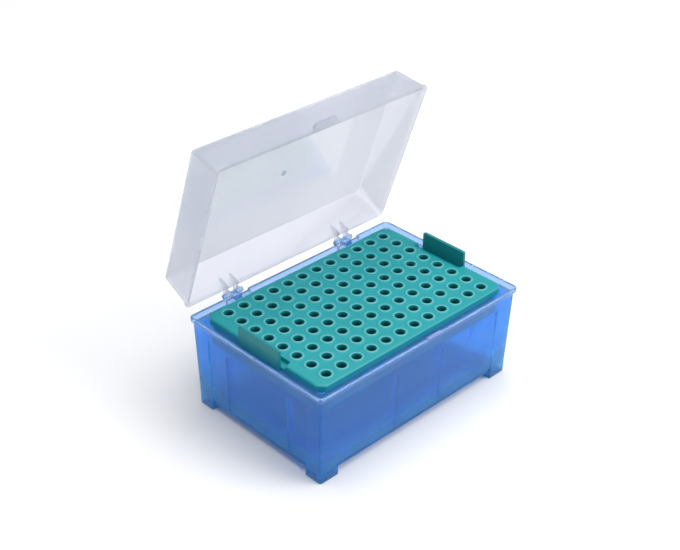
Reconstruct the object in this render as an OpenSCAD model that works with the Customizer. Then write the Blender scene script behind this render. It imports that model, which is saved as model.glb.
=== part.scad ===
// Hinged rack box for 96 pipette tips.
// The origin is on the table under the middle of the tub. +X runs along the rows of twelve holes,
// +Y points at the hinge side and +Z is up. All sizes are in millimetres.
// A low tub carries a perforated rack on an inner ledge, and a clear lid turns on two moulded pins.

/* [Holes] */
// Holes along the length
hole_cols = 12; // [2:1:12]
// Holes across the width
hole_rows = 8; // [2:1:8]
// Distance between neighbouring holes
hole_pitch = 9; // [7:0.1:9.2]
// Diameter of each hole
hole_d = 4.6; // [2:0.1:5.5]
// Diameter of the raised ring around each hole
ring_d = 6.9; // [6:0.1:8]
// Height of the raised ring above the deck
ring_h = 0.35; // [0.1:0.05:1]

/* [Rack] */
// Gap between the tub's lip and each end of the deck
deck_gap_x = 3.95; // [3.5:0.05:5]
// Gap between the tub's lip and each side of the deck
deck_gap_y = 3.9; // [2:0.05:4]
// Thickness of the deck
deck_t = 2; // [1:0.1:4]
// Cut across each corner of the deck, along the length
deck_corner_x = 3; // [1:0.1:6]
// Cut across each corner of the deck, along the width
deck_corner_y = 3.5; // [1:0.1:6]
// Bevel along the top edge of the deck
deck_bevel = 0.6; // [0.2:0.1:1.8]
// Height of the deck's top above the ledge that carries it
deck_rise = 3.3; // [2.5:0.1:12]
// Depth of the skirt below the deck's top
skirt_depth = 13.5; // [6:0.5:25]
// Length of the sleeve below each hole
sleeve_l = 8; // [2:0.5:10]
// Outside diameter of each sleeve
sleeve_d = 6.2; // [5.6:0.1:6.8]
// Wall thickness of the skirt
skirt_t = 1.3; // [0.8:0.1:2.5]
// Gap around the skirt inside the ledge
skirt_gap = 0.3; // [0.2:0.05:1]

/* [Grips] */
// Width of each grip
grip_w = 26; // [12:0.5:40]
// Height of each grip above the deck
grip_h = 6.8; // [3:0.1:12]
// Thickness of each grip
grip_t = 1.6; // [1:0.1:2.5]
// Depth of the finger pocket behind each grip
pocket_l = 3.5; // [1:0.1:3.6]
// Length that the pocket runs past one end of its grip
pocket_extra = 2.2; // [0:0.1:5]

/* [Tub] */
// Length over the rim
rim_l = 127.1; // [126:0.1:170]
// Width over the rim
rim_w = 86; // [85:0.1:120]
// Height of the rim above the table
rim_h = 47.4; // [40:0.1:90]
// Corner radius of the rim
rim_r = 3; // [2:0.1:6]
// Height of the rim's outer face
rim_face = 1.7; // [1.2:0.1:3]
// Thickness of the lip around the rim
lip_t = 1.5; // [1:0.1:2]
// Depth of the ledge below the rim
ledge_depth = 2.3; // [1.5:0.1:4]
// Thickness of the ledge
ledge_t = 1.2; // [0.8:0.1:2.5]
// Width of the seat that the ledge gives the rack
ledge_seat = 0.9; // [0.5:0.1:2]
// Step from the rim's face in to the wall
wall_step = 1.25; // [0.8:0.05:2]
// Wall thickness
wall_t = 1.2; // [0.8:0.05:2]
// Lean of each wall, in millimetres per millimetre of height
draft = 0.03; // [0:0.005:0.06]
// Radius of the upright corners
wall_r = 1.5; // [1:0.1:3]
// Thickness of the floor
floor_t = 1.4; // [0.8:0.1:3]

/* [Feet and ribs] */
// Height of the feet below the floor
foot_h = 4; // [2:0.5:10]
// Length of each foot
foot_l = 10.4; // [6:0.1:20]
// Width of each foot
foot_w = 9; // [6:0.1:20]
// Depth of the panels between the corner posts
panel_recess = 0.45; // [0.2:0.05:0.8]
// Distance from the rim down to the top of the panels
panel_drop = 8.2; // [4:0.1:20]
// Place of the ribs on the long walls, from the middle
rib_x = 14.4; // [8:0.1:40]
// Place of the ribs on the short walls, from the middle
rib_y = 19.9; // [8:0.1:30]
// Thickness of the ribs
rib_t = 1; // [0.6:0.1:2]
// Reach of the ribs in from the outside of the wall
rib_reach = 3.9; // [2:0.1:4.2]

/* [Hinges] */
// Place of each hinge along the length, from the middle
hinge_x = 35.4; // [15:0.1:45]
// Diameter of the pins
pin_d = 2.4; // [1.6:0.1:3]
// Length of the pins
pin_l = 12; // [8:0.5:20]
// Distance of the pins behind the rim
pin_out = 2.3; // [2:0.1:5]
// Depth of the pins' axis below the rim
pin_drop = 1; // [0:0.1:3]
// Width of the post that carries each pin
post_w = 4.2; // [2:0.1:8]
// Clearance around each pin in its clips
pin_gap = 0.3; // [0.2:0.05:0.5]
// Thickness of the clip around the pin
clip_t = 1.1; // [0.8:0.05:1.5]
// Width over a pair of clips
clip_w = 7.2; // [7:0.1:14]
// Height of each clip's web on the lid's wall
clip_web_h = 6; // [3:0.5:12]
// Width of the snap mouth of each clip
clip_mouth = 2; // [1:0.1:2.2]
// Width of each notch in the rim
notch_w = 14; // [13:0.5:24]

/* [Lid] */
// Angle from closed to the stored open place
lid_open = 71.5; // [0:0.5:105]
// Height of the lid above the rim
lid_h = 17.9; // [12:0.1:60]
// Inset of the lid's flange from the tub's rim, along the length
lid_inset_x = 0.45; // [0:0.05:1]
// Inset of the lid's flange from the tub's rim, along the width
lid_inset_y = 1; // [0:0.05:1.2]
// Width of the lid's flange
lid_flange = 0.9; // [0.5:0.1:2]
// Gap between the closed lid and the rim
lid_gap = 0.1; // [0.05:0.05:0.3]
// Thickness of the lid's flange
lid_flange_t = 1.3; // [0.8:0.1:2.5]
// Wall thickness of the lid
lid_t = 1; // [0.7:0.05:2]
// Lean of the end walls over their whole height
lid_lean_x = 0.7; // [0:0.1:4]
// Lean of the back wall over its whole height
lid_lean_back = 1.5; // [0:0.1:4]
// Lean of the front wall over its whole height
lid_lean_front = 2.8; // [0:0.1:4]
// Corner radius of the lid's top
lid_top_r = 1.6; // [1.5:0.1:6]
// Rounding of the edge around the lid's top
lid_edge = 0.6; // [0.3:0.1:2]

/* [Latch] */
// Place of the catch along the tub's front rim
catch_x = 5.5; // [-10:0.1:10]
// Width of the catch
catch_w = 9; // [4:0.5:16]
// Height of the catch above the rim
catch_h = 1; // [0.4:0.1:1.1]
// Thickness of the catch
catch_t = 0.8; // [0.5:0.05:1.2]
// Place of the lid's thumb tab
tab_x = -1.2; // [-10:0.1:10]
// Width of the thumb tab
tab_w = 13.5; // [8:0.5:20]
// Reach of the thumb tab past the lid's flange
tab_reach = 2; // [1:0.1:4]
// Thickness of the thumb tab
tab_t = 1.2; // [0.8:0.1:2]

/* [Hidden] */
$fn = 32;
skin = 0.01;
over = 1;
least_r = 0.3;
ledge_z = rim_h - ledge_depth;
ledge_low = ledge_z - ledge_t;
deck_z = ledge_z + deck_rise;
floor_top = foot_h + floor_t;
wall_top = rim_h - rim_face;
flange_low = wall_top - wall_step;
panel_top = rim_h - panel_drop;
skirt_low = deck_z - skirt_depth;
wall_l = rim_l - 2 * wall_step;
wall_w = rim_w - 2 * wall_step;
lip_l = rim_l - 2 * lip_t;
lip_w = rim_w - 2 * lip_t;
deck_l = lip_l - 2 * deck_gap_x;
deck_w = lip_w - 2 * deck_gap_y;
seat_l = deck_l - 2 * ledge_seat;
seat_w = deck_w - 2 * ledge_seat;
skirt_l = seat_l - 2 * skirt_gap;
skirt_w = seat_w - 2 * skirt_gap;
pin_y = rim_w / 2 + pin_out;
pin_z = rim_h - pin_drop;
pin_r = pin_d / 2;
lid_l = rim_l - 2 * lid_inset_x;
lid_w = rim_w - 2 * lid_inset_y;
lid_z = rim_h + lid_gap;
lid_top_z = lid_z + lid_h;
tab_z = lid_z + catch_h + pin_gap;

// A rectangle with rounded corners, centred on the origin.
module rounded(l, w, r) {
  square([l - 2 * r, w], center = true);
  square([l, w - 2 * r], center = true);
  for (x = [-1, 1], y = [-1, 1])
    translate([x * (l / 2 - r), y * (w / 2 - r)]) circle(r);
}

// A flat slab of that outline, from z to z + h.
module slab(l, w, r, z, h) {
  translate([0, 0, z]) linear_extrude(h) rounded(l, w, r);
}

// The solid inside the leaning walls, inset all round, from one height to another.
module tapered(inset, low, high) {
  function lean(z) = 2 * (draft * (wall_top - z) + inset);
  hull() {
    slab(wall_l - lean(low), wall_w - lean(low), max(wall_r - inset, least_r), low, skin);
    slab(wall_l - lean(high), wall_w - lean(high), max(wall_r - inset, least_r), high - skin, skin);
  }
}

// Four blocks at the corners, which bound the posts and the feet.
module corners(inset, low, high) {
  corner_l = foot_l + wall_step + draft * wall_top;
  corner_w = foot_w + wall_step + draft * wall_top;
  x_mid = (rim_l - corner_l) / 2 + inset;
  y_mid = (rim_w - corner_w) / 2 + inset;
  for (x = [-1, 1], y = [-1, 1])
    translate([x * x_mid, y * y_mid, (low + high) / 2])
      cube([corner_l, corner_w, high - low], center = true);
}

// The outside of the tub: posts, panels between them, and the flange around the rim.
module tub_outside() {
  intersection() {
    tapered(0, 0, wall_top);
    union() {
      corners(0, -over, wall_top + over);
      translate([-rim_l, -rim_w, panel_top]) cube([2 * rim_l, 2 * rim_w, rim_h]);
    }
  }
  tapered(panel_recess, foot_h, wall_top);
  hull() {
    slab(rim_l, rim_w, rim_r, wall_top, skin);
    slab(wall_l, wall_w, wall_r, flange_low, skin);
  }
  slab(rim_l, rim_w, rim_r, wall_top, rim_face);
}

// The space inside the tub, down to the floor and into the hollow feet.
module tub_inside() {
  intersection() {
    tapered(wall_t, floor_t, ledge_low);
    union() {
      corners(wall_t, floor_t, ledge_low);
      translate([-rim_l, -rim_w, floor_top]) cube([2 * rim_l, 2 * rim_w, rim_h]);
    }
  }
  slab(seat_l, seat_w, wall_r, ledge_low - over, ledge_t + 2 * over);
  difference() {
    slab(lip_l, lip_w, rim_r - lip_t, ledge_z, ledge_depth + over);
    for (x = [-1, 1])
      translate([x * hinge_x - notch_w / 2, wall_w / 2 - wall_t, ledge_z - over])
        cube([notch_w, wall_step + over, ledge_depth + 2 * over]);
  }
}

// Stiffening ribs that stand on the floor against each wall.
module ribs() {
  intersection() {
    tapered(wall_t / 2, floor_top - skin, skirt_low);
    union() {
      for (x = [-1, 1], y = [-1, 1])
        translate([x * rib_x - rib_t / 2, y * (wall_w / 2) - rib_reach, floor_top - skin])
          cube([rib_t, 2 * rib_reach, skirt_low]);
      for (x = [-1, 1], y = [-1, 1])
        translate([x * (wall_l / 2) - rib_reach, y * rib_y - rib_t / 2, floor_top - skin])
          cube([2 * rib_reach, rib_t, skirt_low]);
    }
  }
}

// A pin on its post, standing in a notch behind the rim.
module hinge_pin() {
  translate([-pin_l / 2, pin_y, pin_z]) rotate([0, 90, 0]) cylinder(r = pin_r, h = pin_l);
  translate([-post_w / 2, wall_w / 2 - wall_t / 2, pin_z - pin_r])
    cube([post_w, pin_y - wall_w / 2 + wall_t / 2, pin_drop + pin_r - pin_gap]);
}

// A low rounded catch on the front rim.
module catch() {
  catch_r = catch_w / 3;
  intersection() {
    translate([catch_x - catch_w / 2, -rim_w / 2, rim_h - skin]) cube([catch_w, catch_t, catch_h + skin]);
    translate([catch_x, -rim_w / 2 - over, rim_h + catch_h - catch_r]) rotate([-90, 0, 0])
      linear_extrude(catch_t + 2 * over) {
        square([catch_w - 2 * catch_r, 2 * catch_r], center = true);
        for (x = [-1, 1]) translate([x * (catch_w / 2 - catch_r), 0]) circle(catch_r);
      }
  }
}

module tub() {
  color([0.32, 0.5, 0.85, 0.6]) {
    difference() {
      tub_outside();
      tub_inside();
      for (x = [-1, 1])
        translate([x * hinge_x - notch_w / 2, wall_w / 2, flange_low - over])
          cube([notch_w, wall_step + over, rim_h]);
    }
    ribs();
    for (x = [-1, 1]) translate([x * hinge_x, 0, 0]) hinge_pin();
    catch();
  }
}

// The deck's outline, inset all round, with its corners cut off.
module deck_outline(inset) {
  x = deck_l / 2 - inset;
  y = deck_w / 2 - inset;
  cx = deck_corner_x;
  cy = deck_corner_y;
  polygon([[-x + cx, -y], [x - cx, -y], [x, -y + cy], [x, y - cy],
           [x - cx, y], [-x + cx, y], [-x, y - cy], [-x, -y + cy]]);
}

// Its children, placed on the deck's top at each hole of the grid.
module at_holes() {
  for (i = [0 : hole_cols - 1], j = [0 : hole_rows - 1])
    translate([(i - (hole_cols - 1) / 2) * hole_pitch, (j - (hole_rows - 1) / 2) * hole_pitch, deck_z])
      children();
}

// The upright grip on the end of the rack, flush with the deck's underside.
module grip() {
  translate([deck_l / 2 - skin, -grip_w / 2, ledge_z])
    cube([grip_t, grip_w, deck_rise + grip_h]);
}

// The finger pocket behind that grip.
module grip_pocket() {
  translate([deck_l / 2 - pocket_l, -grip_w / 2, deck_z - deck_t])
    cube([pocket_l - skin, grip_w + pocket_extra, deck_t + over]);
}

// The deck's plate, with a raised ring around each hole and a sleeve below it.
module deck() {
  hull() {
    translate([0, 0, deck_z - deck_t]) linear_extrude(deck_t - deck_bevel) deck_outline(0);
    translate([0, 0, deck_z - skin]) linear_extrude(skin) deck_outline(deck_bevel);
  }
  at_holes() {
    translate([0, 0, -skin]) cylinder(d1 = ring_d, d2 = ring_d - 2 * ring_h, h = ring_h + skin);
    translate([0, 0, -deck_t - sleeve_l]) cylinder(d = sleeve_d, h = sleeve_l + skin);
  }
}

// The wall below the deck, with the land above it that rests on the ledge.
module skirt() {
  difference() {
    union() {
      translate([0, 0, ledge_z]) linear_extrude(deck_rise - deck_t + skin) deck_outline(0);
      slab(skirt_l, skirt_w, wall_r, skirt_low, skirt_depth - deck_t);
    }
    translate([0, 0, -over])
      slab(skirt_l - 2 * skirt_t, skirt_w - 2 * skirt_t, wall_r, skirt_low, skirt_depth + over);
  }
}

module rack() {
  color([0.15, 0.65, 0.62]) {
    difference() {
      union() {
        deck();
        skirt();
      }
      at_holes()
        translate([0, 0, -deck_t - sleeve_l - over])
          cylinder(d = hole_d, h = sleeve_l + deck_t + ring_h + 2 * over);
      for (a = [0, 180]) rotate([0, 0, a]) grip_pocket();
    }
    for (a = [0, 180]) rotate([0, 0, a]) grip();
  }
}

// The solid inside the lid's leaning walls, inset all round, with an eased edge around the top.
module lid_body(inset, low) {
  top = lid_top_z - inset;
  rim_len = lid_l - 2 * (lid_flange + inset);
  rim_wid = lid_w - 2 * (lid_flange + inset);
  top_wid = rim_wid - lid_lean_back - lid_lean_front;
  shift = (lid_lean_front - lid_lean_back) / 2;
  top_len = rim_len - 2 * lid_lean_x;
  r = max(lid_top_r - inset, least_r);
  top_r = max(r - lid_edge, least_r);
  hull() {
    slab(rim_len, rim_wid, r, low, skin);
    translate([0, shift, 0]) slab(top_len, top_wid, r, top - lid_edge, skin);
    translate([0, shift, 0]) slab(top_len - 2 * lid_edge, top_wid - 2 * lid_edge, top_r, top - skin, skin);
  }
}

// A pair of snap clips that hook round one hinge pin, with webs up the lid's wall.
module hinge_clip() {
  clip_r = pin_r + pin_gap + clip_t;
  wall_y = lid_w / 2 - lid_flange - lid_t / 2;
  side_w = (clip_w - post_w) / 2 - pin_gap;
  web_top = pin_z + pin_r + pin_gap + clip_web_h;
  side = [[wall_y, lid_z], [pin_y - clip_r / 2, lid_z], [pin_y + clip_r * cos(60), pin_z + clip_r * sin(60)],
          [pin_y, pin_z + clip_r], [wall_y, web_top]];
  for (s = [-1, 1])
    translate([s * (clip_w - side_w) / 2, 0, 0])
      difference() {
        union() {
          translate([-side_w / 2, pin_y, pin_z]) rotate([0, 90, 0]) cylinder(r = clip_r, h = side_w);
          translate([-side_w / 2, 0, 0]) rotate([90, 0, 90]) linear_extrude(side_w) polygon(side);
        }
        translate([-side_w, pin_y, pin_z]) rotate([0, 90, 0]) cylinder(r = pin_r + pin_gap, h = 2 * side_w);
        translate([-side_w, pin_y, pin_z]) rotate([-45, 0, 0]) translate([0, 0, -clip_mouth / 2])
          cube([2 * side_w, 2 * clip_r, clip_mouth]);
      }
}

// The thumb tab on the lid's front, which passes over the catch.
module thumb_tab() {
  tab_back = lid_flange + lid_t / 2;
  tab_r = tab_reach;
  translate([tab_x, -lid_w / 2, tab_z]) linear_extrude(tab_t) {
    translate([-tab_w / 2 + tab_r, -tab_reach]) square([tab_w - 2 * tab_r, tab_reach + tab_back]);
    translate([-tab_w / 2, 0]) square([tab_w, tab_back]);
    for (x = [-1, 1]) translate([x * (tab_w / 2 - tab_r), 0]) circle(tab_r);
  }
}

// The lid as it lies on the rim.
module lid_closed() {
  difference() {
    union() {
      lid_body(0, lid_z);
      slab(lid_l, lid_w, rim_r, lid_z, lid_flange_t);
      thumb_tab();
      for (x = [-1, 1]) translate([x * hinge_x, 0, 0]) hinge_clip();
    }
    lid_body(lid_t, lid_z - over);
  }
}

module lid() {
  color([0.88, 0.89, 0.95, 0.35])
    translate([0, pin_y, pin_z]) rotate([-lid_open, 0, 0]) translate([0, -pin_y, -pin_z])
      lid_closed();
}

tub();
rack();
lid();
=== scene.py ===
"""A hinged rack box for pipette tips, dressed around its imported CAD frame.

The box is three mouldings: a translucent blue tub, an opaque teal rack of 96 holes and a clear lid.
Every new piece is worked out with numpy in the frame's own axes. Sizes in the classes are in
millimetres, and meshes are written in metres.
"""

from __future__ import annotations

import logging
import math
from dataclasses import dataclass
from enum import Enum
from typing import Callable, Sequence

import bpy
import numpy as np
from mathutils import Matrix, Vector

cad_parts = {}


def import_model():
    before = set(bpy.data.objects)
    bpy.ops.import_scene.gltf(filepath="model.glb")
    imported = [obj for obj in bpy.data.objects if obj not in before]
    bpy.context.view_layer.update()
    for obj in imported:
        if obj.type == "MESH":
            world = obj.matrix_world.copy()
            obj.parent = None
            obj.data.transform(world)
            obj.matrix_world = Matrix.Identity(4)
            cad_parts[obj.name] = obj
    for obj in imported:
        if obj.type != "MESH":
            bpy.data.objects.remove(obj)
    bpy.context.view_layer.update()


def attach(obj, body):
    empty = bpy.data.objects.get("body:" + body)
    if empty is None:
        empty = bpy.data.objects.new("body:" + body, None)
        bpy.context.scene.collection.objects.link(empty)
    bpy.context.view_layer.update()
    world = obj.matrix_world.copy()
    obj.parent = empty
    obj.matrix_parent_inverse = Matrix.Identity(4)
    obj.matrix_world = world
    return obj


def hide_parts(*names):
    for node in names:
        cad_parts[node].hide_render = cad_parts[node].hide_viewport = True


LOG = logging.getLogger("rack_box")
MM = 0.001
CORNER_STEPS = 4
ARC_STEPS = 6
SHARP_ANGLE = math.radians(34)
BEVEL_SEGMENTS = 2
WELD_DIGITS = 3
TINY = 1e-9

# The depth attribute carries painted light on the rack: 0 on a ring's edge for a painted highlight, MOUTH on
# the deck, a little more on the grips for painted shade on their sides, and up to 1 at a sleeve's end for
# painted shade in the holes. A vertex above RING_SHARE of a ring's height is on the ring's edge.
PAINTED_LIGHT_KEY = "painted_light_depth"
MOUTH = 0.2
GRIP_PAINTED_SHADE = 0.25
RING_SHARE = 0.6


Pair = tuple[float, float]
Triple = tuple[float, float, float]


class Body(Enum):
    """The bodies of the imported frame, which are its material slots too."""

    TUB = "tub"
    RACK = "rack"
    LID = "lid"


class Side(Enum):
    """The two ends along the length, by the sign of X."""

    LEFT = -1
    RIGHT = 1


class Along(Enum):
    """The axis that a prism runs along: X with its outline in (Y, Z), or Z with it in (X, Y)."""

    X = 0
    Z = 2


# --------------------------------------------------------------------------- mesh tools


@dataclass(frozen=True)
class Level:
    """One outline of a skin: a rounded rectangle at a height, in millimetres.

    press, rib and notch say how far a panel, a rib and a notch stand in at this level, and drop says
    how far its corners go down.
    """

    half_l: float
    half_w: float
    radius: float
    z: float
    shift_y: float = 0.0
    press: float = 0.0
    rib: float = 0.0
    notch: float = 0.0
    drop: float = 0.0


Press = Callable[[np.ndarray, np.ndarray, Level], np.ndarray]
Shape = tuple[np.ndarray, list[np.ndarray]]


def grown(size: Pair, by: float, radius: float, z: float, **more: float) -> Level:
    """Return the outline of a half size grown by a distance on every side."""
    return Level(size[0] + by, size[1] + by, radius, z, **more)


def plan_grid(level: Level, xs: Sequence[float], ys: Sequence[float]) -> np.ndarray:
    """Lay a grid over a rounded rectangle.

    Inside, grid lines run straight through xs and ys. In each corner square the point (a, b) from the
    arc's centre moves to (a, b) * max(a, b) / hypot(a, b), which bends square rings into arcs.

    Args:
        level: The outline.
        xs: Places of the lines across the length.
        ys: Places of the lines across the width.

    Returns:
        An array of shape (lines across x, lines across y, 2).
    """
    step = level.radius * np.tan(np.linspace(0.0, math.pi / 4, CORNER_STEPS + 1))
    core_l, core_w = level.half_l - level.radius, level.half_w - level.radius
    line_x = np.concatenate([-core_l - step[::-1], np.asarray(xs, float), core_l + step])
    line_y = np.concatenate([-core_w - step[::-1], np.asarray(ys, float), core_w + step])
    x, y = np.meshgrid(line_x, line_y, indexing="ij")
    a, b = np.maximum(np.abs(x) - core_l, 0.0), np.maximum(np.abs(y) - core_w, 0.0)
    bend = np.where((a > 0) & (b > 0), np.maximum(a, b) / np.maximum(np.hypot(a, b), TINY), 1.0)
    x = np.sign(x) * (np.minimum(np.abs(x), core_l) + a * bend)
    y = np.sign(y) * (np.minimum(np.abs(y), core_w) + b * bend)
    return np.stack([x, y], axis=-1)


def edge_walk(shape: tuple[int, int]) -> np.ndarray:
    """Return the flat indices of a grid's border, once round, anticlockwise from its first corner."""
    index = np.arange(shape[0] * shape[1]).reshape(shape)
    return np.concatenate([index[:, 0], index[-1, 1:], index[-2::-1, -1], index[0, -2:0:-1]])


def grid_quads(index: np.ndarray) -> np.ndarray:
    """Return the quads between the rows and columns of a grid of vertex numbers."""
    corners = [index[:-1, :-1], index[1:, :-1], index[1:, 1:], index[:-1, 1:]]
    return np.stack(corners, axis=-1).reshape(-1, 4)


def ring_quads(index: np.ndarray) -> np.ndarray:
    """Return the quads between rings of vertex numbers, closed around and facing outwards going up."""
    after = np.roll(index, -1, axis=1)
    return np.stack([index[:-1], after[:-1], after[1:], index[1:]], axis=-1).reshape(-1, 4)


def weld(points: np.ndarray, quads: np.ndarray) -> tuple[np.ndarray, np.ndarray]:
    """Join vertices whose places agree to WELD_DIGITS decimals of a millimetre.

    Args:
        points: Vertices in millimetres.
        quads: Faces by vertex number.

    Returns:
        The joined vertices and the faces renumbered.
    """
    _, first, number = np.unique(
        np.round(points, WELD_DIGITS), axis=0, return_index=True, return_inverse=True
    )
    return points[first], number.reshape(-1)[quads]


def open_faces(quads: np.ndarray) -> list[np.ndarray]:
    """Sort welded quads into quads and triangles, and drop those that closed up.

    A corner that repeats the one before it, going once round, is left out.

    Args:
        quads: Faces by vertex number, of which some repeat a vertex.

    Returns:
        The quads and the triangles.
    """
    own = quads != np.roll(quads, 1, axis=1)
    corners = own.sum(axis=1)
    return [quads[corners == 4], quads[corners == 3][own[corners == 3]].reshape(-1, 3)]


def make_piece(
    name: str, points: np.ndarray, faces: Sequence[np.ndarray], body: Body, bevel: float = 0.0
) -> bpy.types.Object:
    """Write a mesh piece and let it ride on its body.

    Args:
        name: The piece's name.
        points: Vertices in millimetres.
        faces: Arrays of vertex numbers, one row a face.
        body: The body that carries the piece.
        bevel: Width of the rounding that finishes its edges, or nothing.

    Returns:
        The new object, at the origin.
    """
    mesh = bpy.data.meshes.new(name)
    mesh.from_pydata((points * MM).tolist(), [], [row.tolist() for part in faces for row in part])
    mesh.validate()
    mesh.shade_smooth()
    mesh.set_sharp_from_angle(angle=SHARP_ANGLE)
    piece = bpy.data.objects.new(name, mesh)
    bpy.context.scene.collection.objects.link(piece)
    if bevel:
        edge = piece.modifiers.new("soft_edges", "BEVEL")
        edge.width = bevel * MM
        edge.segments = BEVEL_SEGMENTS
        edge.limit_method = "ANGLE"
        edge.angle_limit = SHARP_ANGLE
    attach(piece, body.value)
    LOG.info("%s: %d faces on %s", name, len(mesh.polygons), body.value)
    return piece


def skin(
    levels: Sequence[Level], xs: Sequence[float], ys: Sequence[float], press: Press | None = None
) -> Shape:
    """Build a closed skin from a bottom cap, a stack of outlines and an end cap.

    Ring k is the border of plan_grid(levels[k]). A ring's point on a straight side moves in by
    press(along, across, level), and the corners beyond the last grid lines go down by level.drop.

    Args:
        levels: Outlines in order, from the middle of the first cap to the middle of the last.
        xs: Grid lines across the length.
        ys: Grid lines across the width.
        press: How far a point on a straight side stands in. Across is the sign of y on a long side and
            twice the sign of x on a short one.

    Returns:
        The vertices in millimetres and the faces.
    """
    grids = []
    for level in levels:
        flat = plan_grid(level, xs, ys)
        x, y = flat[..., 0], flat[..., 1]
        at_corner = (np.abs(x) >= xs[-1] - TINY) & (np.abs(y) >= ys[-1] - TINY)
        z = level.z - level.drop * at_corner
        if press is not None:
            core_l, core_w = level.half_l - level.radius, level.half_w - level.radius
            reach_x = np.clip((np.abs(x) - xs[-1]) / (level.half_l - xs[-1]), 0.0, 1.0)
            reach_y = np.clip((np.abs(y) - ys[-1]) / (level.half_w - ys[-1]), 0.0, 1.0)
            on_long = (np.abs(x) <= core_l + TINY) & (reach_y > 0)
            on_short = (np.abs(y) <= core_w + TINY) & (reach_x > 0) & ~on_long
            y = y - np.where(on_long, np.sign(y) * press(x, np.sign(y), level) * reach_y, 0.0)
            x = x - np.where(on_short, np.sign(x) * press(y, 2 * np.sign(x), level) * reach_x, 0.0)
        grids.append(np.stack([x, y + level.shift_y, z], axis=-1))
    shape = grids[0].shape[:2]
    walk = edge_walk(shape)
    rim = len(walk)
    count = shape[0] * shape[1]
    rings = [walk] + [count + k * rim + np.arange(rim) for k in range(len(levels) - 2)]
    last = count + (len(levels) - 2) * rim
    rings.append(walk + last)
    walls = [grid.reshape(-1, 3)[walk] for grid in grids[1:-1]]
    points = np.concatenate([grids[0].reshape(-1, 3), *walls, grids[-1].reshape(-1, 3)])
    first_cap = grid_quads(np.arange(count).reshape(shape))[:, ::-1]
    last_cap = grid_quads(last + np.arange(count).reshape(shape))
    return points, [first_cap, ring_quads(np.stack(rings)), last_cap]


def both_sides(*values: float) -> list[float]:
    """Return the places on both sides of the middle, in order."""
    return sorted({-v for v in values} | set(values))


def band(value: np.ndarray, low: float | np.ndarray, high: float | np.ndarray) -> np.ndarray:
    """Return 1 from low to high and 0 beyond."""
    return ((value >= low - TINY) & (value <= high + TINY)).astype(float)


def arc(centre: Pair, radius: float, start: float, end: float, steps: int) -> np.ndarray:
    """Return the points of an arc, (cosine, sine) * radius from start to end in degrees."""
    t = np.radians(np.linspace(start, end, steps + 1))
    return np.stack([centre[0] + radius * np.cos(t), centre[1] + radius * np.sin(t)], axis=-1)


def box_walk(x: np.ndarray, y: np.ndarray, far_x: float, far_y: float) -> np.ndarray:
    """Walk once round a rectangle: (x, -far_y), (far_x, y), (-x, far_y), (-far_x, -y).

    Args:
        x: Places along the front, from left to right, without the last corner.
        y: Places along the right side, from front to back, without the last corner.
        far_x: The rectangle's half length.
        far_y: Its half width.

    Returns:
        Points (x, y), anticlockwise from the front left corner.
    """
    long_y, short_x = np.full_like(x, far_y), np.full_like(y, far_x)
    sides = ((x, -long_y), (short_x, y), (-x, long_y), (-short_x, -y))
    return np.concatenate([np.column_stack(side) for side in sides])


def joined(first: Shape, second: Shape) -> Shape:
    """Put two shapes into one mesh, with the second's faces numbered after the first's points."""
    count = len(first[0])
    return np.concatenate([first[0], second[0]]), [*first[1], *(part + count for part in second[1])]


def prism(outline: np.ndarray, low: float, high: float, along: Along) -> Shape:
    """Carry a flat outline straight along an axis and close both ends.

    Point k of ring j is (outline[k], low or high) with the axes turned so that the last one is along.

    Args:
        outline: Points of a closed outline, anticlockwise.
        low: Start of the run.
        high: End of the run.
        along: Axis of the run.

    Returns:
        The vertices in millimetres and the faces.
    """
    count = len(outline)
    rings = np.concatenate([np.column_stack([outline, np.full(count, v)]) for v in (low, high)])
    points = np.roll(rings, 1, axis=1) if along is Along.X else rings
    index = np.arange(2 * count).reshape(2, count)
    return points, [index[:1, ::-1], ring_quads(index), index[1:]]


def lathe(profile: np.ndarray, sides: int) -> Shape:
    """Turn a profile around the Z axis.

    Point (i, j) is (radius_i cos t_j, radius_i sin t_j, height_i) with t_j even round the turn, and the
    first and last rings are closed with one face each.

    Args:
        profile: Rows of (radius, height) from the lower end to the upper end.
        sides: Points round each ring.

    Returns:
        The vertices in millimetres and the faces.
    """
    t = np.linspace(0.0, 2 * math.pi, sides, endpoint=False)
    radius, height = profile[:, :1], profile[:, 1:]
    points = np.stack([radius * np.cos(t), radius * np.sin(t), height + 0 * t], axis=-1)
    index = np.arange(points[..., 0].size).reshape(points.shape[:2])
    return points.reshape(-1, 3), [index[:1, ::-1], ring_quads(index), index[-1:]]


def store_painted_light(piece: bpy.types.Object, depth: np.ndarray) -> None:
    """Store each vertex's depth on a piece, for the rack's finish to paint shade and highlight from."""
    layer = piece.data.attributes.new(PAINTED_LIGHT_KEY, "FLOAT", "POINT")
    layer.data.foreach_set("value", depth.astype(np.float32))


# --------------------------------------------------------------------------- finishes

FLOW_DETAIL = 3.0
FLOW_BEND = 0.6
FLOW_ENDS = (0.3, 0.7)
PEEL_DETAIL = 2.0
PEEL_DEPTH = 0.05 * MM
GLOSS_SPREAD = (0.8, 1.25)
SCATTER = (0.6, 1.0, 1.0)
SCATTER_REACH = 2 * MM

# Tints by depth on the rack: a painted highlight on a ring's edge, the deck's own tint, and painted shade in
# a hole from the last stop on.
RING_PAINTED_HIGHLIGHT = (1.0, 0.92, 0.88, 1.0)
DECK_TINT = (0.06, 0.66, 0.66, 1.0)
HOLE_PAINTED_SHADE = (0.02, 0.2, 0.2, 1.0)
FULL_PAINTED_SHADE_AT = 0.34

# Sockets of a colour mix.
MIX_FACTOR, MIX_FIRST, MIX_SECOND, MIX_RESULT = 0, 6, 7, 2


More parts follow.
